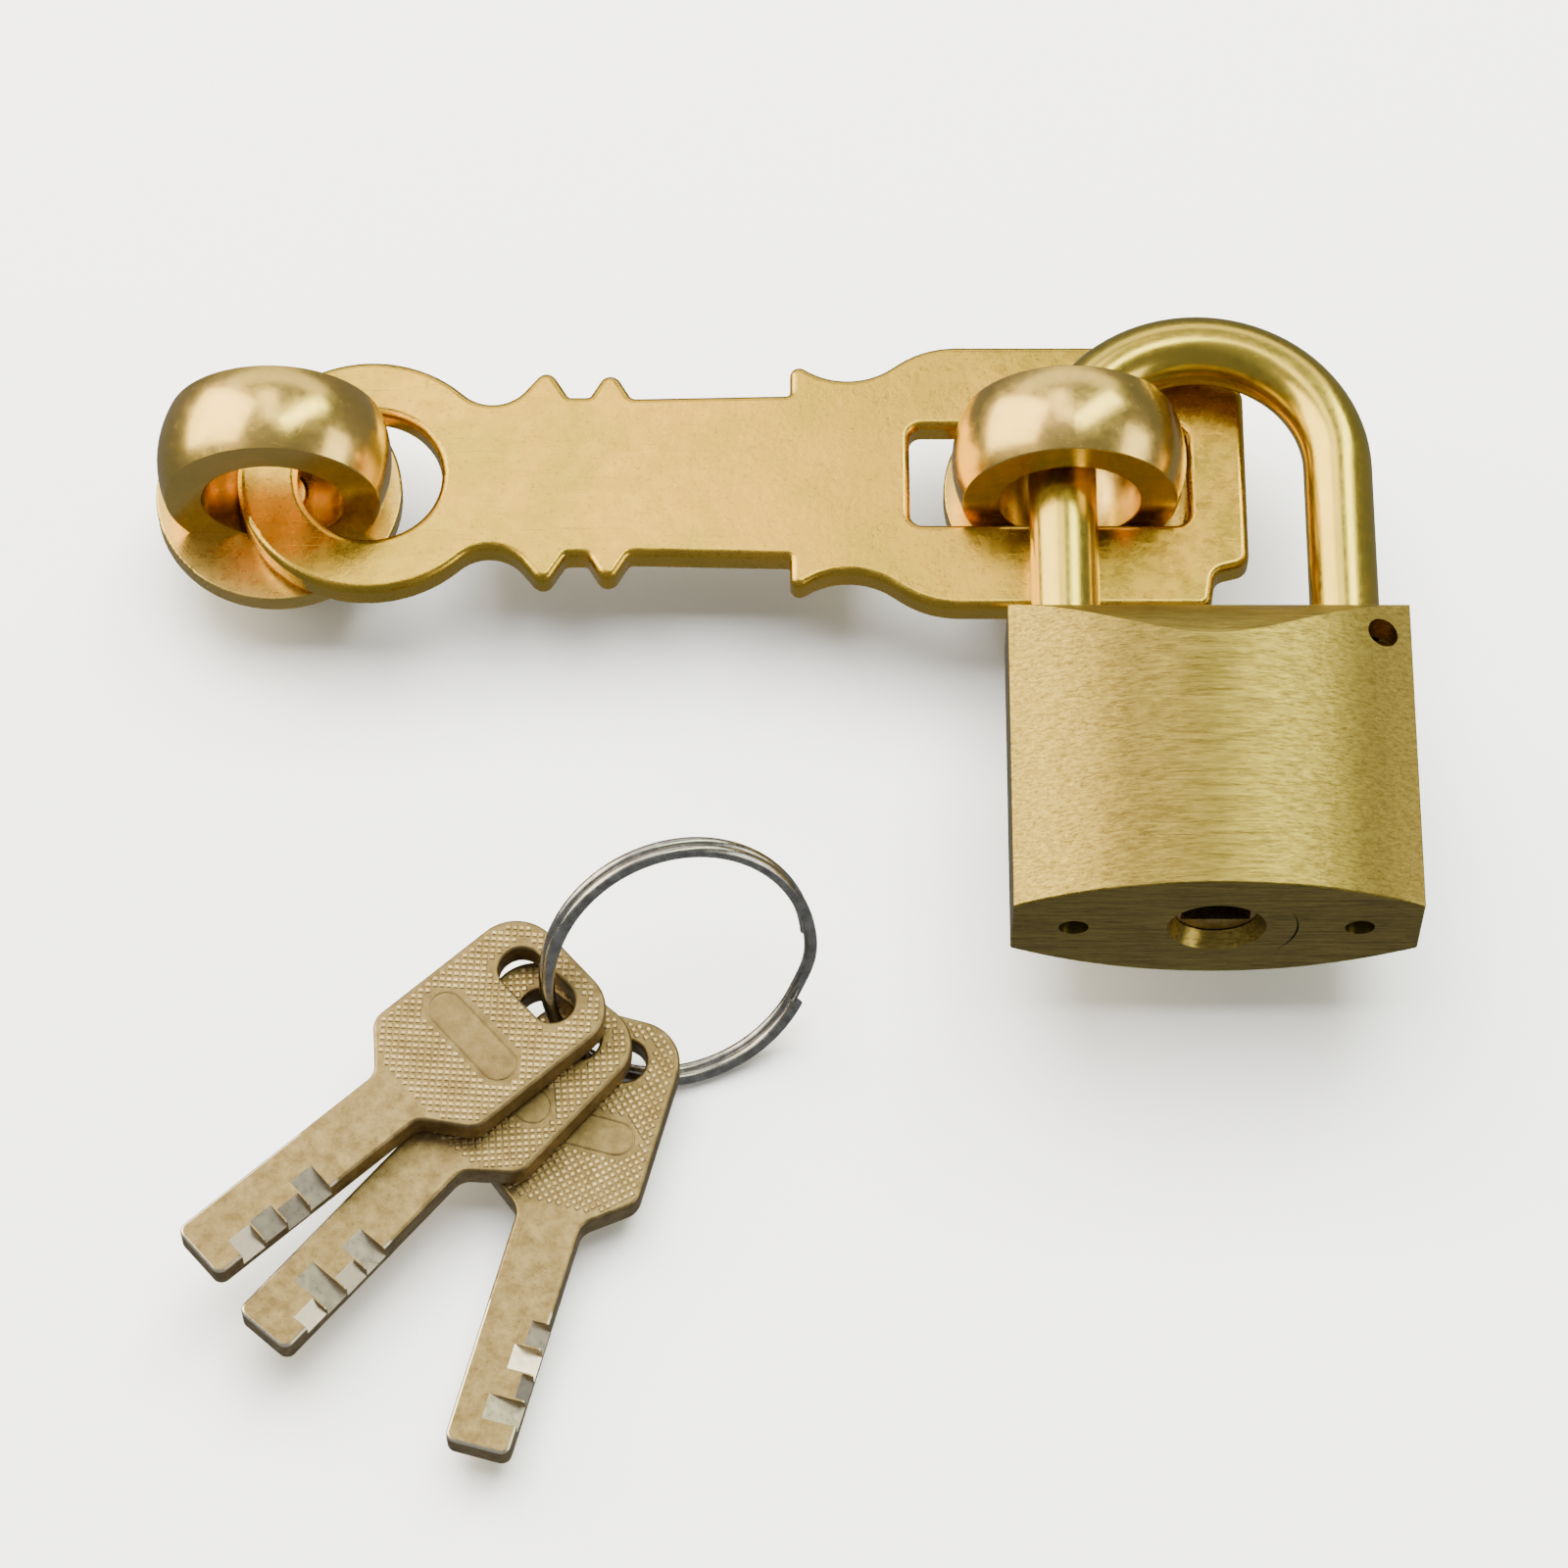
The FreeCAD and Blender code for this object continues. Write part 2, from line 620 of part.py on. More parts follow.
def make_core():
    """The turning core: keyed face, chamber for the discs, slot for the sidebar, cam pin on top."""
    top = SHELL_TOP_Y - END_GAP
    barrel = cylinder("core_barrel", "Sizes.core_radius", f"{top - CORE_Y}", (MID_X, CORE_Y, PAD_Z),
                      UP_DOOR)
    chamber = cylinder("core_chamber", f"{CHAMBER_R}", f"{STACK_LENGTH + END_GAP}",
                       (MID_X, DISC_START_Y, PAD_Z), UP_DOOR)
    passage = keyway("core_keyway", CORE_Y - 1, f"{DISC_START_Y - CORE_Y + STACK_LENGTH + 2.5}")
    slot = box("core_slot", "Sizes.core_slot_width", f"{STACK_LENGTH - 2 * CLEAR}", "3",
               (MID_X - size("core_slot_width") / 2, DISC_START_Y + CLEAR, PAD_Z + size("core_slot_rise")))
    throw = size("latch_travel") / (-2 * math.cos(CAM_ANGLE))
    pin = cylinder("cam_pin", "Sizes.cam_pin_radius", f"{LATCH_Y + 2.4 - top}",
                   (MID_X + throw * math.cos(CAM_ANGLE), top, PAD_Z + throw * math.sin(CAM_ANGLE)), UP_DOOR)
    solid = cut("core_solid", barrel, chamber, passage, slot)
    node(joined("core_with_cam", solid, pin), "cylinder_core")
    return throw


def make_disc(label, y, thick, gate_depth):
    """A lock disc or spacer: round, with the key's hole and a gate for the sidebar."""
    disc = cylinder(label + "_round", "Sizes.disc_radius", thick, (MID_X, y, PAD_Z), UP_DOOR)
    hole = keyway(label + "_keyway", y - 0.5, "3")
    gate = box(label + "_gate", "Sizes.disc_gate_width", "3", "2",
               (MID_X - size("disc_gate_width") / 2, y - 0.5, PAD_Z + size("disc_radius") - gate_depth))
    node(cut(label + "_solid", disc, hole, gate), label)


def make_latch(throw):
    """The bolt that fills the toe's notch; the cam pin in its slot draws it clear."""
    nose_x = TOE_X + size("shackle_radius") - size("latch_engage")
    nose = box("latch_nose", f"{MID_X - nose_x}", "Sizes.latch_height", "Sizes.latch_width",
               (nose_x, LATCH_Y, PAD_Z - size("latch_width") / 2))
    rear = box("latch_rear", "Sizes.latch_rear_length", "Sizes.latch_height", "Sizes.latch_rear_width",
               (MID_X - size("latch_rear_start"), LATCH_Y, PAD_Z - size("latch_rear_width") / 2))
    pin_r = size("cam_pin_radius")
    pin_play = 0.15
    slot = box("latch_slot", f"{2 * (pin_r + pin_play)}", "Sizes.latch_height + 2", "6",
               (MID_X + throw * math.cos(CAM_ANGLE) - pin_r - pin_play, LATCH_Y - 1, PAD_Z + 2 * pin_play))
    solid = joined("latch_solid", nose, rear)
    node(cut("latch_cut", solid, slot), "latch_bolt")
    rear_end = MID_X - size("latch_rear_start") + size("latch_rear_length")
    coil("latch_spring", size("latch_spring_radius"), size("latch_spring_wire"),
         size("latch_spring_length"),
         (rear_end + 0.1, LATCH_Y + size("latch_height") / 2, PAD_Z - 1.8), (1, 0, 0))


make_shell()
cam_throw = make_core()
for index in range(DISC_COUNT):
    disc_y = DISC_START_Y + END_GAP / 2 + index * DISC_PITCH
    make_disc(f"lock_disc_{index + 1}", disc_y, "Sizes.disc_thick", size("disc_gate_depth"))
    if index + 1 < DISC_COUNT:
        make_disc(f"disc_spacer_{index + 1}", disc_y + size("disc_thick") + size("disc_play") / 2,
                  "Sizes.spacer_thick", size("spacer_gate_depth"))
node(box("sidebar_bar", "Sizes.sidebar_width", f"{STACK_LENGTH - 4 * CLEAR}", "Sizes.sidebar_height",
         (MID_X - size("sidebar_width") / 2, DISC_START_Y + 2 * CLEAR,
          PAD_Z + size("sidebar_rise"))), "sidebar")
make_latch(cam_throw)

# ---------------------------------------------------------------- split ring and keys
LEAN = math.radians(size("ring_lean"))
RING_R = size("split_ring_radius")
WIRE_R = size("wire_radius")
RING_CENTRE = Vector(41.0, -53.0, size("table_z") + RING_R * math.sin(LEAN) + size("ring_rise"))
RING_ROTATION = Rotation(Vector(0, 0, 1),
                         size("ring_turn")).multiply(Rotation(Vector(1, 0, 0), size("ring_lean")))


def jog_path(pitch, sweep):
    """A smooth rise of one pitch along the ring's circle, level at both ends."""
    steps = 8
    points = []
    for step in range(steps + 1):
        share = step / steps
        angle = math.radians(sweep) * share
        rise = pitch * (1 - math.cos(math.pi * share)) / 2
        points.append(Vector(RING_R * math.cos(angle), RING_R * math.sin(angle), rise))
    curve = Part.BSplineCurve()
    end_tangent = Vector(-math.sin(angle), math.cos(angle), 0)
    curve.interpolate(Points=points, InitialTangent=Vector(0, 1, 0), FinalTangent=end_tangent)
    return curve.toShape()


def make_split_ring():
    """Two flat turns of round wire side by side, joined by a jog; both ends meet the jog."""
    pitch = 2 * WIRE_R + size("turn_gap")
    sweep = size("jog_sweep")
    gap = size("jog_end_gap")
    turns = []
    for name, height, start in (("lower", 0, sweep + gap), ("upper", pitch, sweep)):
        turn = doc.addObject("Part::Torus", f"ring_{name}_turn")
        bind(turn, Radius1="Sizes.split_ring_radius", Radius2="Sizes.wire_radius",
             Angle3="360 - Sizes.jog_sweep - Sizes.jog_end_gap")
        turn.Placement = Placement(Vector(0, 0, height), Rotation(Vector(0, 0, 1), start))
        turns.append(turn)
    path = doc.addObject("Part::Feature", "ring_jog_path")
    path.Shape = jog_path(pitch, sweep)
    section = doc.addObject("Part::Circle", "ring_section")
    bind(section, Radius="Sizes.wire_radius")
    section.Placement = Placement(Vector(RING_R, 0, 0), Rotation(Vector(1, 0, 0), 90))
    jog = doc.addObject("Part::Sweep", "ring_jog")
    jog.Sections = [section]
    jog.Spine = (path, ["Edge1"])
    jog.Solid = True
    ring = joined("split_ring_solid", *turns, jog)
    ends = RING_ROTATION.multiply(Rotation(Vector(0, 0, 1), size("ring_end_angle")))
    ring.Placement = Placement(RING_CENTRE + RING_ROTATION.multVec(Vector(0, 0, -pitch / 2)), ends)
    node(ring, "split_ring")


KEY_STEP = size("key_thick") + size("key_gap")
LOWEST_KEY_Z = RING_CENTRE.z - size("lowest_key_drop")
# the way each key points from its hole to its tip, degrees about +Z, from the lowest key up
KEY_HEADINGS = (254.5, 229.0, 221.5)
# how far each key has slipped along its ring slot, from the lowest key up
KEY_SLIPS = (-1.3, 0.4, 1.9)
# bitting: the depth of each of the four facets and its lean, from the tip towards the head
KEY_CUTS = (
    ((1.2, 20), (0.9, 60), (1.5, 35), (1.3, 50)),
    ((1.0, 35), (1.5, 20), (1.2, 50), (1.6, 30)),
    ((1.4, 40), (1.0, 25), (1.3, 55), (1.5, 30)),
)


def ring_crossing(z):
    """Where the ring's wire passes a height on its left side."""
    turn = -math.acos(max(-1, min(1, (RING_CENTRE.z - z) / (RING_R * math.sin(LEAN)))))
    local = Vector(RING_R * math.sin(turn), -RING_R * math.cos(turn), 0)
    return RING_CENTRE + RING_ROTATION.multVec(local)


def key_outline():
    """Tip at -x, head at +x, the ring hole's middle at the origin."""
    head_end = size("key_slot_inset")
    head_start = head_end - size("head_length")
    tip = head_end - size("key_length")
    head_half = size("head_width") / 2
    blade_half = size("key_blade_width") / 2
    upper = [
        (tip, blade_half, 1.0),
        (head_start - 0.4, blade_half, 2.0),
        (head_start + 3.2, head_half, 2.2),
        (head_end, head_half, 4.5),
    ]
    lower = [(x, -y, radius) for x, y, radius in reversed(upper)]
    return rounded_path(upper + lower, closed=True)


def slot_outline():
    """The ring hole: a round-ended slot across the head."""
    long = size("key_slot_length") / 2
    half = size("key_slot_width") / 2
    round_end = half * 0.98
    return rounded_path([
        (-half, -long, round_end),
        (half, -long, round_end),
        (half, long, round_end),
        (-half, long, round_end),
    ], closed=True)


def make_key(number, level):
    """A flat key with a rectangular blade; each facet is cut across the edge that meets the discs."""
    label = f"key_{number}"
    blank_body = doc.addObject("PartDesign::Body", label + "_blank")
    plane = next(o for o in blank_body.Origin.OriginFeatures if o.Role == "XY_Plane")
    profile = blank_body.newObject("Sketcher::SketchObject", label + "_profile")
    profile.AttachmentSupport = [(plane, "")]
    profile.MapMode = "FlatFace"
    profile.addGeometry(key_outline() + slot_outline(), False)
    pad = blank_body.newObject("PartDesign::Pad", label + "_pad")
    pad.Profile = profile
    bind(pad, Length="Sizes.key_thick")
    doc.recompute()
    rims = [
        f"Edge{index}"
        for index, edge in enumerate(pad.Shape.Edges, start=1)
        if edge.BoundBox.ZLength < 0.01
    ]
    soften = blank_body.newObject("PartDesign::Fillet", label + "_soften")
    soften.Base = (pad, rims)
    bind(soften, Radius="Sizes.key_softening")

    tip = size("key_slot_inset") - size("key_length")
    thick = size("key_thick")
    edge_y = -size("key_blade_width") / 2
    cutters = []
    facet = size("facet_length")
    side = size("cutter_side")
    for index, (depth, lean) in enumerate(KEY_CUTS[level]):
        cutter = box(f"{label}_facet_{index + 1}", "Sizes.facet_length", "Sizes.cutter_side",
                     "Sizes.cutter_side", (0, 0, 0))
        turn = Rotation(Vector(1, 0, 0), lean)
        # the cutter's lower face passes this deep below the blade's upper edge
        foot = Vector(tip + size("facet_start") + index * (facet + size("facet_gap")), edge_y, thick)
        inward = turn.multVec(Vector(0, 0, -1)) * depth
        cutter.Placement = Placement(foot + inward + turn.multVec(Vector(0, -side / 2, 0)), turn)
        cutters.append(cutter)
    finished = cut(label + "_cut", blank_body, *cutters)
    doc.recompute()
    z = LOWEST_KEY_Z + level * KEY_STEP
    hole = ring_crossing(z + thick / 2)
    heading = Rotation(Vector(0, 0, 1), KEY_HEADINGS[level] - 180)
    slip = heading.multVec(Vector(0, KEY_SLIPS[level], 0))
    finished.Placement = Placement(Vector(hole.x, hole.y, z) + slip, heading)
    return node(finished, label)


make_split_ring()
for level in range(3):
    make_key(3 - level, level)


# ---------------------------------------------------------------- checks and files
doc.recompute()
for piece in doc.Objects:
    if "Invalid" in piece.State or "Error" in piece.State:
        raise RuntimeError(f"{piece.Name} did not build: {piece.State}")
for piece in nodes:
    if piece.Shape.isNull() or not piece.Shape.isValid() or len(piece.Shape.Solids) != 1:
        raise RuntimeError(f"{piece.Label} is not one sound solid")

os.makedirs("parts", exist_ok=True)
for piece in nodes:
    piece.Shape.exportStep(f"parts/{piece.Label}.step")
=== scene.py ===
"""Brass hasp on two ball staples, padlock, and three keys on a split ring: looks for the CAD frame."""
import json
import math

import bpy
from mathutils import Matrix, Vector, noise


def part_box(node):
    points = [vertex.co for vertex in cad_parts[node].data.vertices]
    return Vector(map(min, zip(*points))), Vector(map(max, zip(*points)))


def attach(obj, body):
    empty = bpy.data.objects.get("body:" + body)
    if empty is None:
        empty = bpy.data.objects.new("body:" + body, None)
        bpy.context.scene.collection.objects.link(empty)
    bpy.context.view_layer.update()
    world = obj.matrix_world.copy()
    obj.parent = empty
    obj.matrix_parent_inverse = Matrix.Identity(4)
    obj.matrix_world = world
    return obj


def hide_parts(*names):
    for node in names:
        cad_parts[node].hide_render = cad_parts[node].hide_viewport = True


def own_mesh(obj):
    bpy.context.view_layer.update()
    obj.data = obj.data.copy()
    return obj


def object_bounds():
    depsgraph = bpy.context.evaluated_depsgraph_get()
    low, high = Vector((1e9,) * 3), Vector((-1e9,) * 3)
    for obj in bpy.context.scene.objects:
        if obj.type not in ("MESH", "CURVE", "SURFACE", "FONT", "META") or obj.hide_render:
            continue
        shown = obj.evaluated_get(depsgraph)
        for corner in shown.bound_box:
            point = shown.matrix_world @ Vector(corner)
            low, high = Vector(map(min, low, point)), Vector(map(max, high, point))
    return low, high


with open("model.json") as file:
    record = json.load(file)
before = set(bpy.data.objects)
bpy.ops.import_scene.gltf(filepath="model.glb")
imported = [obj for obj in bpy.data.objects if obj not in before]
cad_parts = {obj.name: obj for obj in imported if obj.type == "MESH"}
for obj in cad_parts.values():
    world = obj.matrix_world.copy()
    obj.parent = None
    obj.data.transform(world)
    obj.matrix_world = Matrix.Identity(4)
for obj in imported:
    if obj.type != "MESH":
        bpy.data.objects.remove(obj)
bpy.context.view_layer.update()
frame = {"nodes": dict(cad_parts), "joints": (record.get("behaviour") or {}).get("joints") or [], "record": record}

MM = 0.001
nodes = frame["nodes"]
record = frame["record"]
joints = {joint["name"]: joint for joint in frame["joints"]}

# names, sizes and places as in the CAD model
STAPLES = ("hinge_staple", "lock_staple")
FLANGE_TOP = 2.2 * MM
KEY_JOINTS = {f"key_{number}": f"key_{number}_fan" for number in (1, 2, 3)}
# the way each key points from its hole to its tip, degrees about +Z
KEY_HEADINGS = {"key_3": 254.5, "key_2": 229.0, "key_1": 221.5}
# how far each key has slipped along its own ring slot
KEY_SLIPS = {"key_3": -1.3 * MM, "key_2": 0.4 * MM, "key_1": 1.9 * MM}

# base colours, linear RGB
CAST_WARM = (0.80, 0.48, 0.068)
CAST_GREENISH = (0.62, 0.42, 0.058)
CAST_PIT = (0.22, 0.14, 0.04)
TURNED_WARM = (0.82, 0.55, 0.16)
TURNED_COOL = (0.70, 0.50, 0.13)
SHACKLE_WARM = (0.72, 0.51, 0.085)
SHACKLE_COOL = (0.60, 0.46, 0.075)
# the brushed body's two tones are darker than the other brass: painted shade of the brushing's fine grooves
BRUSHED_GROOVE_SHADE = (0.20, 0.145, 0.036)
BRUSHED_SHADED_CREST = (0.47, 0.352, 0.082)
KEY_DARK = (0.26, 0.185, 0.085)
KEY_LIGHT = (0.46, 0.345, 0.17)
KEY_GRIME = (0.16, 0.11, 0.05)
KEY_CUT = (1.0, 0.90, 0.70)
KNURL_DARK = (0.50, 0.37, 0.18)
KNURL_LIGHT = (0.78, 0.62, 0.36)
FLOOR_GREY = (0.90, 0.90, 0.89)

# where a colour mix keeps its two colours and its result
MIX_FIRST = 6
MIX_SECOND = 7
MIX_RESULT = 2


def centre(node):
    """The middle of a CAD node's box."""
    low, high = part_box(node)
    return (Vector(low) + Vector(high)) / 2


# ---------------------------------------------------------------- shader helpers
class Finish:
    """A metal on the Principled shader, with helpers for the patterns that its sockets take."""

    def __init__(self, name):
        self.material = bpy.data.materials.new(name)
        self.material.use_nodes = True
        self.tree = self.material.node_tree
        self.shader = self.tree.nodes["Principled BSDF"]
        self.shader.inputs["Metallic"].default_value = 1.0
        self.coordinates = self.add("ShaderNodeTexCoord").outputs["Object"]

    def add(self, kind, **settings):
        made = self.tree.nodes.new(kind)
        for setting, value in settings.items():
            setattr(made, setting, value)
        return made

    def link(self, output, socket):
        self.tree.links.new(output, socket)

    def mapped(self, turn=(0, 0, 0), stretch=(1, 1, 1), shift=(0, 0, 0)):
        """The object's own coordinates, stretched, turned by degrees and shifted."""
        mapping = self.add("ShaderNodeMapping")
        mapping.inputs["Rotation"].default_value = [math.radians(angle) for angle in turn]
        mapping.inputs["Scale"].default_value = stretch
        mapping.inputs["Location"].default_value = shift
        self.link(self.coordinates, mapping.inputs["Vector"])
        return mapping.outputs["Vector"]

    def grain(self, size_mm, detail=3.0, vector=None, rough=0.55):
        """Noise whose features are about this many millimetres across."""
        texture = self.add("ShaderNodeTexNoise")
        texture.inputs["Scale"].default_value = 1.0 / (size_mm * MM)
        texture.inputs["Detail"].default_value = detail
        texture.inputs["Roughness"].default_value = rough
        self.link(vector or self.coordinates, texture.inputs["Vector"])
        return texture.outputs["Fac"]

    def ranged(self, value, from_low, from_high, to_low, to_high):
        """A value carried from one range to another, and held at its ends."""
        mapping = self.add("ShaderNodeMapRange")
        for socket, number in zip(("From Min", "From Max", "To Min", "To Max"),
                                  (from_low, from_high, to_low, to_high)):
            mapping.inputs[socket].default_value = number
        self.link(value, mapping.inputs["Value"])
        return mapping.outputs["Result"]

    def clouds(self, size_mm, detail=2, rough=0.55):
        """Soft patches about this many millimetres across. 0 to 1."""
        return self.ranged(self.grain(size_mm, detail, rough=rough), 0.35, 0.65, 0, 1)

    def uneven(self, size_mm, low, high, detail=4):
        """A roughness that wanders between two values."""
        return self.ranged(self.grain(size_mm, detail), 0.3, 0.7, low, high)

    def maths(self, operation, first, second):
        made = self.add("ShaderNodeMath", operation=operation)
        for socket, value in zip(made.inputs, (first, second)):
            if isinstance(value, (int, float)):
                socket.default_value = value
            else:
                self.link(value, socket)
        return made.outputs["Value"]

    def blended(self, share, first, second):
        """A colour between two, by a share from 0 to 1; either may be a socket."""
        mix = self.add("ShaderNodeMix", data_type="RGBA")
        for socket, value in ((mix.inputs[MIX_FIRST], first), (mix.inputs[MIX_SECOND], second)):
            if isinstance(value, tuple):
                socket.default_value = (*value, 1)
            else:
                self.link(value, socket)
        self.link(share, mix.inputs["Factor"])
        return mix.outputs[MIX_RESULT]

    def scratches(self, turn, length_mm, width_mm, amount):
        """Fine marks along one direction: thin crests of a long, narrow noise. 0 to 1."""
        across = 1 / (width_mm * MM)
        along = 1 / (length_mm * MM)
        texture = self.add("ShaderNodeTexNoise")
        texture.inputs["Scale"].default_value = 1.0
        texture.inputs["Detail"].default_value = 1.0
        self.link(self.mapped(turn, (along, across, across)), texture.inputs["Vector"])
        crest_from, crest_to = 0.74 - amount, 0.80 - amount
        return self.ranged(texture.outputs["Fac"], crest_from, crest_to, 0.0, 1.0)

    def height(self, value, depth_mm, strength=1.0, below=None):
        """Relief of this depth, over any relief below it."""
        bump = self.add("ShaderNodeBump")
        bump.inputs["Strength"].default_value = strength
        bump.inputs["Distance"].default_value = depth_mm * MM
        self.link(value, bump.inputs["Height"])
        if below:
            self.link(below, bump.inputs["Normal"])
        return bump.outputs["Normal"]

    def spread_across(self, direction, amount):
        """Spreads highlights along one direction, as strokes at right angles to it do."""
        tangent = self.add("ShaderNodeCombineXYZ")
        for socket, value in zip(tangent.inputs, direction):
            socket.default_value = value
        self.link(tangent.outputs["Vector"], self.shader.inputs["Tangent"])
        self.shader.inputs["Anisotropic"].default_value = amount

    def finish(self, colour, roughness, normal):
        self.link(colour, self.shader.inputs["Base Color"])
        self.link(roughness, self.shader.inputs["Roughness"])
        self.link(normal, self.shader.inputs["Normal"])
        return self.material


# ---------------------------------------------------------------- materials
def cast_brass():
    """Tumbled casting: orange-peel skin with fine pits, a few long rubs, warm and greenish clouds."""
    look = Finish("cast_brass_look")
    colour = look.blended(look.clouds(9), CAST_WARM, CAST_GREENISH)
    pits = look.ranged(look.grain(0.42, 2), 0.60, 0.74, 0, 1)
    colour = look.blended(look.maths("MULTIPLY", pits, 0.45), colour, CAST_PIT)
    rubs = look.scratches((0, 0, 24), 6, 0.09, 0.04)
    roughness = look.uneven(1.6, 0.20, 0.33)
    roughness = look.maths("ADD", roughness, look.maths("MULTIPLY", rubs, 0.10))
    skin = look.height(look.grain(0.75, 3), 0.035, 0.55)
    fine = look.height(look.grain(0.22, 2), 0.012, 0.6, skin)
    return look.finish(colour, roughness, look.height(rubs, 0.006, 0.7, fine))


def turned_brass(staple):
    """Polished ball with short wandering scratches; lathe rings on the flange about the staple's axis."""
    axis = centre(f"{staple}_stud")
    look = Finish(f"{staple}_turned_look")
    offset = look.mapped(shift=(-axis.x, -axis.y, 0))
    flat = look.add("ShaderNodeVectorMath", operation="MULTIPLY")
    flat.inputs[1].default_value = (1, 1, 0)
    look.link(offset, flat.inputs[0])
    radius = look.add("ShaderNodeVectorMath", operation="LENGTH")
    look.link(flat.outputs["Vector"], radius.inputs[0])
    along = look.add("ShaderNodeCombineXYZ")
    look.link(radius.outputs["Value"], along.inputs["X"])
    rings = look.grain(0.16, 2, along.outputs["Vector"])
    parted = look.add("ShaderNodeSeparateXYZ")
    look.link(look.coordinates, parted.inputs["Vector"])
    on_flange = look.ranged(parted.outputs["Z"], FLANGE_TOP, FLANGE_TOP + 0.3 * MM, 1, 0)
    colour = look.blended(look.clouds(5), TURNED_WARM, TURNED_COOL)
    marks = look.scratches((20, 30, 50), 2.2, 0.05, 0.06)
    crossing = look.scratches((70, 10, -35), 2.8, 0.05, 0.06)
    marks = look.maths("MAXIMUM", marks, crossing)
    roughness = look.uneven(1.1, 0.17, 0.28)
    roughness = look.maths("ADD", roughness, look.maths("MULTIPLY", on_flange, 0.06))
    skin = look.height(look.grain(1.3, 3), 0.012, 0.5)
    lathe = look.height(look.maths("MULTIPLY", rings, on_flange), 0.020, 0.7, skin)
    return look.finish(colour, roughness, look.height(marks, 0.004, 0.5, lathe))


def shackle_brass():
    """Drawn and polished bar: faint draw lines down the legs, small nicks."""
    look = Finish("shackle_brass_look")
    colour = look.blended(look.clouds(6), SHACKLE_WARM, SHACKLE_COOL)
    draw = look.grain(1, 2, look.mapped(stretch=(4, 0.12, 4)))
    nicks = look.scratches((0, 0, 35), 1.2, 0.08, 0.03)
    roughness = look.uneven(0.9, 0.17, 0.27)
    lines = look.height(draw, 0.012, 0.5)
    return look.finish(colour, roughness, look.height(nicks, 0.006, 0.6, lines))


def brushed_brass():
    """Belt-brushed across the width: long and short strokes along X, with a few stray dents. Its colour is darker
    overall than the other brass and darker in the strokes' valleys: painted shade of the brushing's fine grooves,
    over the strokes' own grain.
    """
    look = Finish("brushed_brass_shaded_look")
    long_strokes = look.grain(1, 3, look.mapped(stretch=(0.20, 3.2, 3.2)), 0.7)
    short_strokes = look.grain(1, 3, look.mapped(stretch=(0.9, 8, 8)), 0.7)
    strokes = look.maths("ADD", look.maths("MULTIPLY", long_strokes, 0.6),
                         look.maths("MULTIPLY", short_strokes, 0.4))
    # darker where the strokes dip: painted shade in the brushing's grooves, over the strokes' grain
    stroke_shade = look.ranged(strokes, 0.36, 0.60, 0, 1)
    colour = look.blended(stroke_shade, BRUSHED_GROOVE_SHADE, BRUSHED_SHADED_CREST)
    dents = look.ranged(look.grain(2.2, 0), 0.76, 0.80, 0, 1)
    roughness = look.ranged(strokes, 0.3, 0.7, 0.42, 0.30)
    brushed = look.height(strokes, 0.060, 0.6)
    look.spread_across((0, 1, 0), 0.75)
    return look.finish(colour, roughness, look.height(dents, 0.02, 0.4, brushed))


def leaning(look):
    """1 on faces that lean, and 0 on those that lie level or stand upright."""
    surface = look.add("ShaderNodeTexCoord")
    parted = look.add("ShaderNodeSeparateXYZ")
    look.link(surface.outputs["Normal"], parted.inputs["Vector"])
    rise = look.maths("ABSOLUTE", parted.outputs["Z"], 0)
    off_upright = look.ranged(rise, 0.22, 0.30, 0, 1)
    off_level = look.ranged(rise, 0.985, 0.965, 0, 1)
    return look.maths("MULTIPLY", off_upright, off_level)


def key_brass(key):
    """Dull antique brass, grimier on the head, with bright milled facets near the tip."""
    look = Finish(f"{key}_look")
    dull = look.blended(look.clouds(1.5, 5, rough=0.7), KEY_DARK, KEY_LIGHT)
    specks = look.ranged(look.grain(0.3, 2), 0.64, 0.72, 0, 0.6)
    dull = look.blended(specks, dull, KEY_GRIME)
    reach = look.add("ShaderNodeVectorMath", operation="DISTANCE")
    reach.inputs[1].default_value = Vector(joints[KEY_JOINTS[key]]["pos_m"])
    look.link(look.coordinates, reach.inputs[0])
    near_tip = look.ranged(reach.outputs["Value"], 27.5 * MM, 28 * MM, 0, 1)
    cut = look.maths("MULTIPLY", leaning(look), near_tip)
    on_head = look.ranged(reach.outputs["Value"], 13 * MM, 17 * MM, 0.35, 0)
    dull = look.blended(on_head, dull, KEY_GRIME)
    colour = look.blended(cut, dull, KEY_CUT)
    worn = look.uneven(0.8, 0.36, 0.50)
    roughness = look.maths("SUBTRACT", worn, look.maths("MULTIPLY", cut, 0.12))
    uncut = look.maths("SUBTRACT", 1.0, cut)
    skin = look.height(look.maths("MULTIPLY", look.grain(0.35, 3), uncut), 0.020, 0.5)
    return look.finish(colour, roughness, skin)


def knurl_brass():
    """The knurl's crests, rubbed brighter than the grimy face below them."""
    look = Finish("knurl_look")
    colour = look.blended(look.clouds(2.0, 4), KNURL_DARK, KNURL_LIGHT)
    roughness = look.uneven(0.7, 0.28, 0.42, 3)
    return look.finish(colour, roughness, look.height(look.grain(0.2, 2), 0.008, 0.5))


def plain_metal(name, light, dark, low, high):
    """Machined or drawn metal with a faint grain, its roughness between low and high."""
    look = Finish(name)
    colour = look.blended(look.clouds(1.2, 4), dark, light)
    lines = look.height(look.grain(0.3, 2), 0.01, 0.5)
    return look.finish(colour, look.uneven(0.7, low, high, 3), lines)


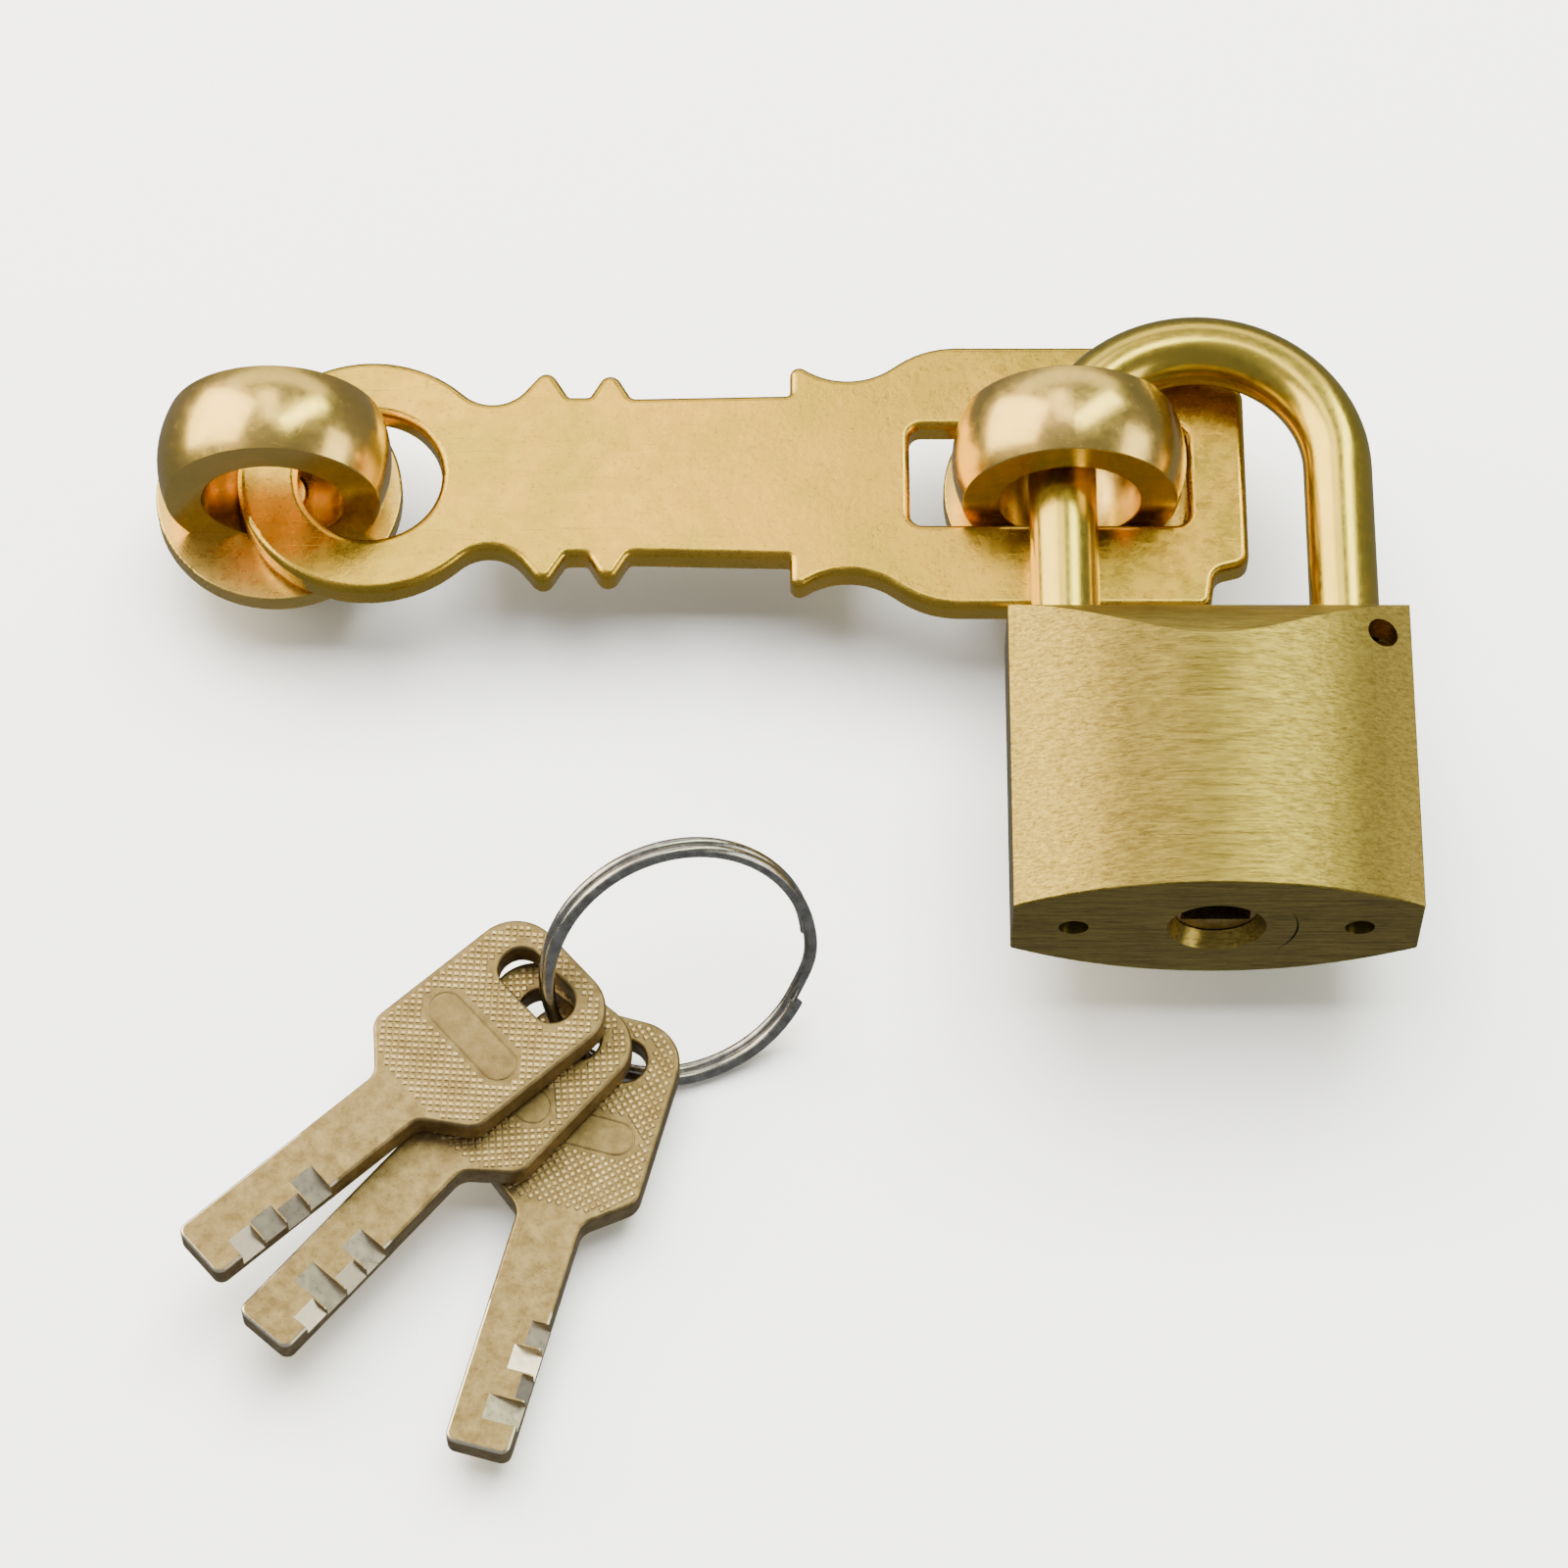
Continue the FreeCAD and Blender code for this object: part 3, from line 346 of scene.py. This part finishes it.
looks = {
    "cast_brass": cast_brass(),
    "knurl": knurl_brass(),
    "shackle_brass": shackle_brass(),
    "brushed_brass": brushed_brass(),
    "cylinder_brass": plain_metal("cylinder_look", (0.80, 0.62, 0.32), (0.58, 0.42, 0.19), 0.22, 0.34),
    # the copper pin's two tones are darkened well below copper: painted shade of the deep hole it sits in
    "copper_pin": plain_metal("copper_shaded_look", (0.52, 0.29, 0.16), (0.24, 0.13, 0.07), 0.20, 0.32),
    "ring_steel": plain_metal("ring_look", (0.48, 0.47, 0.46), (0.30, 0.29, 0.28), 0.16, 0.28),
    "spring_steel": plain_metal("spring_look", (0.60, 0.60, 0.61), (0.44, 0.43, 0.42), 0.20, 0.34),
}
for staple in STAPLES:
    looks[staple] = turned_brass(staple)
for key in KEY_JOINTS:
    looks[key] = key_brass(key)


def look_of(node, slot_name):
    """The finish of a CAD node: staples and keys have one each, placed about their own axis or hole."""
    if slot_name == "turned_brass":
        return looks["hinge_staple" if node.startswith("hinge") else "lock_staple"]
    if slot_name == "key_brass":
        return looks[node]
    return looks[slot_name]


for part in record["subparts"]:
    mesh = nodes[part["node"]].data
    mesh.materials.clear()
    mesh.materials.append(look_of(part["node"], part["material_slot"]))


# ---------------------------------------------------------------- mesh helpers
def piece(name, points, faces, body, look, smooth=False):
    """A new mesh piece that rides on a body and takes its finish from a slot."""
    mesh = bpy.data.meshes.new(name)
    mesh.from_pydata(points, [], faces)
    mesh.update()
    for polygon in mesh.polygons:
        polygon.use_smooth = smooth
    mesh.materials.append(look)
    made = bpy.data.objects.new(name, mesh)
    bpy.context.scene.collection.objects.link(made)
    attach(made, body)
    return made


def swept(sections, closed):
    """Faces through rings of points of one length, closed on itself or capped at both ends."""
    count = len(sections[0])
    points = [point for section in sections for point in section]
    faces = []
    spans = len(sections) if closed else len(sections) - 1
    for index in range(spans):
        near = index * count
        far = (index + 1) % len(sections) * count
        for side in range(count):
            after = (side + 1) % count
            faces.append((near + side, near + after, far + after, far + side))
    if not closed:
        last = (len(sections) - 1) * count
        faces.append(tuple(reversed(range(count))))
        faces.append(tuple(range(last, last + count)))
    return points, faces


# ---------------------------------------------------------------- key heads
# the head in a key's own axes: ring hole at the origin, tip towards -X
HEAD_END = 4.6 * MM
HEAD_HALF = 7.8 * MM
HEAD_CORNER = 4.5 * MM
SHOULDER = Vector((-14.2 * MM, 7.8 * MM))
SHOULDER_OUTWARD = Vector((-4.6, 3.6)).normalized()
SLOT_HALF = Vector((2.2 * MM, 4.5 * MM))
PANEL_X = -8.2 * MM
PANEL_STRAIGHT = 3.9 * MM
PANEL_HALF = 1.75 * MM
RIM_HALF = 0.16 * MM
RIM_HEIGHT = 0.07 * MM
# the knurl, and how far it keeps from the head's edge, the slot and the panel
KNURL_BORDER = 0.65 * MM
KNURL_OFF_SLOT = 0.45 * MM
KNURL_OFF_PANEL = 0.6 * MM
KNURL_NECK_X = -16.4 * MM
KNURL_MIDDLE_X = -5.5 * MM
KNURL_PITCH = 0.66 * MM
KNURL_HEIGHT = 0.11 * MM
KNURL_SINK = 0.04 * MM
KNURL_ROWS = 30
# half a stud's width at its foot and at its top, as shares of the pitch
STUD_FOOT = 0.47
STUD_TOP = 0.24
STUD_FACES = [(0, 3, 2, 1), (4, 5, 6, 7)]
STUD_FACES += [(i, (i + 1) % 4, 4 + (i + 1) % 4, 4 + i) for i in range(4)]


def knurled(x, y):
    """Whether the head is knurled here: inside its border, off the ring slot and the plain panel."""
    side = abs(y)
    if x > HEAD_END - KNURL_BORDER or side > HEAD_HALF - KNURL_BORDER or x < KNURL_NECK_X:
        return False
    here = Vector((x, side))
    corner = Vector((HEAD_END - HEAD_CORNER, HEAD_HALF - HEAD_CORNER))
    in_corner = x > corner.x and side > corner.y
    if in_corner and (here - corner).length > HEAD_CORNER - KNURL_BORDER:
        return False
    if (here - SHOULDER).dot(SHOULDER_OUTWARD) > -KNURL_BORDER:
        return False
    if abs(x) < SLOT_HALF.x + KNURL_OFF_SLOT and side < SLOT_HALF.y + KNURL_OFF_SLOT:
        return False
    past = max(0.0, side - PANEL_STRAIGHT)
    return math.hypot(x - PANEL_X, past) > PANEL_HALF + KNURL_OFF_PANEL


def key_matrix(key):
    """From a key's own axes (tip at -X, ring hole at the origin) to the frame."""
    hole = Vector(joints[KEY_JOINTS[key]]["pos_m"])
    turn = Matrix.Rotation(math.radians(KEY_HEADINGS[key] - 180), 4, "Z")
    slip = Matrix.Translation((0, KEY_SLIPS[key], 0))
    return Matrix.Translation((hole.x, hole.y, 0)) @ turn @ slip


def stud_corners(x, y, face_z, outward):
    """The foot and top of one diamond stud, on a face that looks up (1) or down (-1)."""
    corners = []
    for share, rise in ((STUD_FOOT, -KNURL_SINK), (STUD_TOP, KNURL_HEIGHT)):
        across = share * KNURL_PITCH * math.sqrt(2)
        for dx, dy in ((across, 0), (0, across), (-across, 0), (0, -across)):
            corners.append(Vector((x + dx, y + dy, face_z + outward * rise)))
    return corners


def add_knurl(key):
    """Rows of small diamond studs on both faces of the head."""
    low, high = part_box(key)
    place = key_matrix(key)
    points = []
    faces = []
    diagonal = KNURL_PITCH / math.sqrt(2)
    for row in range(-KNURL_ROWS, KNURL_ROWS + 1):
        for column in range(-KNURL_ROWS, KNURL_ROWS + 1):
            x = (row + column) * diagonal + KNURL_MIDDLE_X
            y = (row - column) * diagonal
            if not knurled(x, y):
                continue
            for face_z, outward in ((high[2], 1), (low[2], -1)):
                start = len(points)
                points += [place @ corner for corner in stud_corners(x, y, face_z, outward)]
                for face in STUD_FACES:
                    ordered = face if outward > 0 else reversed(face)
                    faces.append(tuple(start + corner for corner in ordered))
    piece(f"{key}_knurl", points, faces, key, looks["knurl"])


def add_panel_rim(key):
    """A raised bead round the head's plain panel, on both faces."""
    low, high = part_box(key)
    place = key_matrix(key)
    steps = 16
    route = []
    for end in (1, -1):
        for step in range(steps + 1):
            angle = math.pi * step / steps + (0 if end > 0 else math.pi)
            route.append((math.cos(angle), math.sin(angle), end * PANEL_STRAIGHT))
    bead = ((-RIM_HALF, -KNURL_SINK), (0, RIM_HEIGHT), (RIM_HALF, -KNURL_SINK))
    for label, face_z, outward in (("front", high[2], 1), ("back", low[2], -1)):
        sections = []
        for across, along, middle in route:
            section = []
            for offset, rise in bead:
                radius = PANEL_HALF + offset
                x = PANEL_X + across * radius
                y = middle + along * radius
                section.append(place @ Vector((x, y, face_z + outward * rise)))
            sections.append(section if outward > 0 else section[::-1])
        points, faces = swept(sections, closed=True)
        piece(f"{key}_panel_rim_{label}", points, faces, key, looks[key], smooth=True)


for key in KEY_JOINTS:
    add_knurl(key)
    add_panel_rim(key)


# ---------------------------------------------------------------- staple details
# the peened dome's heights are above the flange's back; it is rooted below the eye's floor
PEEN_RADIUS = 2.75 * MM
PEEN_ROOT = 1.3 * MM
PEEN_TOP = 1.93 * MM
PEEN_CROWN = 0.08 * MM
PEEN_PEAK = 0.1 * MM
PEEN_LUMP = 0.11 * MM
PEEN_EDGE_DROP = 0.55 * MM
LUMPS_PER_METRE = 900
THREAD_RADIUS = 2.52 * MM
THREAD_PITCH = 1.0 * MM
THREAD_TURNS = 7
THREAD_START = 0.6 * MM
THREAD_HALF = 0.4 * MM
THREAD_DEPTH = 0.42 * MM


def add_peening(staple):
    """The stud's hammered end in the eye's floor: a low lumpy dome."""
    axis = centre(f"{staple}_stud")
    rings = 14
    around = 48
    points = []
    for ring in range(1, rings + 1):
        share = ring / rings
        radius = PEEN_RADIUS * ring / rings
        for step in range(around):
            angle = 2 * math.pi * step / around
            place = Vector((axis.x + radius * math.cos(angle), axis.y + radius * math.sin(angle), 0))
            lump = noise.fractal(place * LUMPS_PER_METRE, 1.0, 2.0, 3) * PEEN_LUMP
            edge = PEEN_EDGE_DROP * share ** 6
            height = PEEN_TOP + PEEN_CROWN + lump * (1 - share ** 4) - edge
            points.append(place + Vector((0, 0, height)))
    peak = len(points)
    points.append(Vector((axis.x, axis.y, PEEN_TOP + PEEN_PEAK)))
    base = len(points)
    points.append(Vector((axis.x, axis.y, PEEN_ROOT)))
    faces = [(peak, step, (step + 1) % around) for step in range(around)]
    for ring in range(rings - 1):
        for step in range(around):
            after = (step + 1) % around
            inner = ring * around
            outer = inner + around
            faces.append((inner + step, outer + step, outer + after, inner + after))
    outer = (rings - 1) * around
    faces += [(base, outer + (step + 1) % around, outer + step) for step in range(around)]
    piece(f"{staple}_peening", points, faces, staple, looks[staple], smooth=True)


def add_thread(staple):
    """The screw thread's crest inside the stud."""
    axis = centre(f"{staple}_stud")
    low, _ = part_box(f"{staple}_stud")
    around = 40
    crest = THREAD_RADIUS - THREAD_DEPTH
    ridge = ((THREAD_RADIUS, -THREAD_HALF), (crest, 0), (THREAD_RADIUS, THREAD_HALF))
    sections = []
    for step in range(around * THREAD_TURNS + 1):
        angle = 2 * math.pi * step / around
        z = low[2] + THREAD_START + THREAD_PITCH * step / around
        section = []
        for radius, rise in ridge:
            x = axis.x + radius * math.cos(angle)
            y = axis.y + radius * math.sin(angle)
            section.append(Vector((x, y, z + rise)))
        sections.append(section)
    points, faces = swept(sections, closed=False)
    piece(f"{staple}_thread", points, faces, staple, looks[staple])


for staple in STAPLES:
    add_peening(staple)
    add_thread(staple)


# ---------------------------------------------------------------- padlock details
# the seam is widest at its middle, stands a little proud and is rooted in the body's bottom
SEAM_FROM_DEG = -38
SEAM_SPAN_DEG = 62
SEAM_HALF = 0.11 * MM
SEAM_TIP = 0.06
SEAM_PROUD = 0.012 * MM
SEAM_SUNK = 0.04 * MM
# the seam strip's near-black colours are painted shade: the dark of the narrow gap at the sleeve's rim
SEAM_SHADE_PALE = (0.06, 0.04, 0.02)
SEAM_SHADE_DEEP = (0.02, 0.015, 0.01)
# the latch spring as in the CAD model
COIL_WIRE_RADIUS = 0.25 * MM
COIL_TURNS = 4


def add_sleeve_seam():
    """The crescent where the pressed sleeve's rim shows in the padlock's brushed bottom: a near-black strip laid
    on the surface, painted shade of the narrow gap there.
    """
    middle = centre("cylinder_shell")
    low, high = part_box("cylinder_shell")
    radius = (high[0] - low[0]) / 2
    heart = Vector((middle.x, low[1], middle.z))
    steps = 20
    sections = []
    for step in range(steps + 1):
        share = step / steps
        angle = math.radians(SEAM_FROM_DEG + SEAM_SPAN_DEG * share)
        half = SEAM_HALF * math.sin(math.pi * min(max(share, SEAM_TIP), 1 - SEAM_TIP))
        across = Vector((math.cos(angle), 0, math.sin(angle)))
        section = []
        corners = ((-half, SEAM_SUNK), (-half, -SEAM_PROUD), (half, -SEAM_PROUD), (half, SEAM_SUNK))
        for side, lift in corners:
            section.append(heart + across * (radius + side) + Vector((0, lift, 0)))
        sections.append(section)
    points, faces = swept(sections, closed=False)
    dark = plain_metal("seam_shade_look", SEAM_SHADE_PALE, SEAM_SHADE_DEEP, 0.5, 0.7)
    piece("sleeve_seam", points, faces, "padlock_body", dark)


def add_latch_spring():
    """The latch's coil, made at one length; in the lock it shortens as the latch bolt slides back against it."""
    low, high = (Vector(corner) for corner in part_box("latch_spring"))
    middle = centre("latch_spring")
    wire = COIL_WIRE_RADIUS
    coil_radius = (high.z - low.z) / 2 - wire
    steps = 24 * COIL_TURNS
    around = 10
    sections = []
    for step in range(steps + 1):
        angle = 2 * math.pi * COIL_TURNS * step / steps
        out = Vector((0, math.cos(angle), math.sin(angle)))
        along = low.x + wire + (high.x - low.x - 2 * wire) * step / steps
        heart = Vector((along, middle.y, middle.z)) + out * coil_radius
        section = []
        for side in range(around):
            turn = 2 * math.pi * side / around
            section.append(heart + (out * math.cos(turn) + Vector((math.sin(turn), 0, 0))) * wire)
        sections.append(section)
    points, faces = swept(sections, closed=False)
    steel = looks["spring_steel"]
    coil = piece("latch_coil", points, faces, "padlock_body", steel, smooth=True)
    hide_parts("latch_spring")
    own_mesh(coil)


add_sleeve_seam()
add_latch_spring()

# ---------------------------------------------------------------- floor, light and camera
TARGET = Vector((0.0513, -0.0365, 0.0084))
CAMERA_AT = Vector((0.0513, -0.3031, 0.5294))
CAMERA_TILT = 27.1
LENS = 137.25
SENSOR = 36.0
NEAR_CLIP = 0.01
FLOOR_HALF = 3.0
FLOOR_GAP = 0.1 * MM
FLOOR_ROUGHNESS = 0.9
# name, direction from the target, distance, width and height in metres, watts, colour
SOFTBOXES = (
    ("right_softbox", (0.40, 0.44, 0.80), 0.75, 0.17, 0.70, 3.0, (0.95, 1.0, 0.60)),
    ("centre_softbox", (-0.10, 0.50, 0.86), 0.75, 0.20, 0.45, 0.9, (1.0, 0.92, 0.66)),
    ("left_softbox", (-0.76, 0.40, 0.55), 0.75, 0.60, 0.80, 9.0, (1.0, 0.87, 0.60)),
    ("back_softbox", (0.0, 0.90, 0.42), 0.90, 1.20, 0.30, 1.8, (1.0, 0.94, 0.76)),
    ("low_right_softbox", (0.88, -0.14, 0.42), 0.75, 0.70, 0.34, 2.6, (1.0, 0.96, 0.78)),
)
TABLE_LIGHT = ("table_light", (0.0, 0.30, 1.0), 1.60, 1.50, 1.50, 120.0, (1.0, 1.0, 1.0))
# a pale tent above, behind and to the left, darker in front, below and to the right
TENT_COLOUR = (0.97, 1.0, 0.98, 1)
TENT_DIRECTION = (-0.40, 0.52, 0.755)
TENT_STRENGTH = (("From Min", 0.45), ("From Max", 0.95), ("To Min", 0.25), ("To Max", 0.56))


def add_floor():
    """A wide pale floor just below the object, which the metal doesn't mirror."""
    low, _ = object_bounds()
    level = low[2] - FLOOR_GAP
    half = FLOOR_HALF
    mesh = bpy.data.meshes.new("floor")
    corners = [(-half, -half, level), (half, -half, level), (half, half, level), (-half, half, level)]
    mesh.from_pydata(corners, [], [(0, 1, 2, 3)])
    floor = bpy.data.objects.new("floor", mesh)
    look = bpy.data.materials.new("floor_look")
    look.use_nodes = True
    shader = look.node_tree.nodes["Principled BSDF"]
    shader.inputs["Base Color"].default_value = (*FLOOR_GREY, 1)
    shader.inputs["Roughness"].default_value = FLOOR_ROUGHNESS
    mesh.materials.append(look)
    bpy.context.scene.collection.objects.link(floor)
    floor.visible_glossy = False


def add_softbox(name, toward, distance, width, height, watts, colour, in_metal=True):
    """A rectangular soft light facing the target. With in_metal off, the metal doesn't mirror it."""
    light = bpy.data.lights.new(name, "AREA")
    light.shape = "RECTANGLE"
    light.size = width
    light.size_y = height
    light.energy = watts
    light.color = colour
    lamp = bpy.data.objects.new(name, light)
    direction = Vector(toward).normalized()
    lamp.location = TARGET + direction * distance
    lamp.rotation_euler = direction.to_track_quat("Z", "Y").to_euler()
    lamp.visible_glossy = in_metal
    bpy.context.scene.collection.objects.link(lamp)


def add_camera():
    camera_data = bpy.data.cameras.new("camera")
    camera_data.lens = LENS
    camera_data.sensor_width = SENSOR
    camera_data.clip_start = NEAR_CLIP
    camera = bpy.data.objects.new("camera", camera_data)
    camera.location = CAMERA_AT
    camera.rotation_euler = (math.radians(CAMERA_TILT), 0, 0)
    bpy.context.scene.collection.objects.link(camera)
    bpy.context.scene.camera = camera


def add_world():
    world = bpy.data.worlds.new("studio")
    bpy.context.scene.world = world
    world.use_nodes = True
    background = world.node_tree.nodes["Background"]
    background.inputs["Color"].default_value = TENT_COLOUR
    direction = world.node_tree.nodes.new("ShaderNodeTexCoord")
    facing = world.node_tree.nodes.new("ShaderNodeVectorMath")
    facing.operation = "DOT_PRODUCT"
    facing.inputs[1].default_value = TENT_DIRECTION
    strength = world.node_tree.nodes.new("ShaderNodeMapRange")
    for socket, number in TENT_STRENGTH:
        strength.inputs[socket].default_value = number
    world.node_tree.links.new(direction.outputs["Generated"], facing.inputs[0])
    world.node_tree.links.new(facing.outputs["Value"], strength.inputs["Value"])
    world.node_tree.links.new(strength.outputs["Result"], background.inputs["Strength"])


add_floor()
for softbox in SOFTBOXES:
    add_softbox(*softbox)
add_softbox(*TABLE_LIGHT, in_metal=False)
add_camera()
add_world()
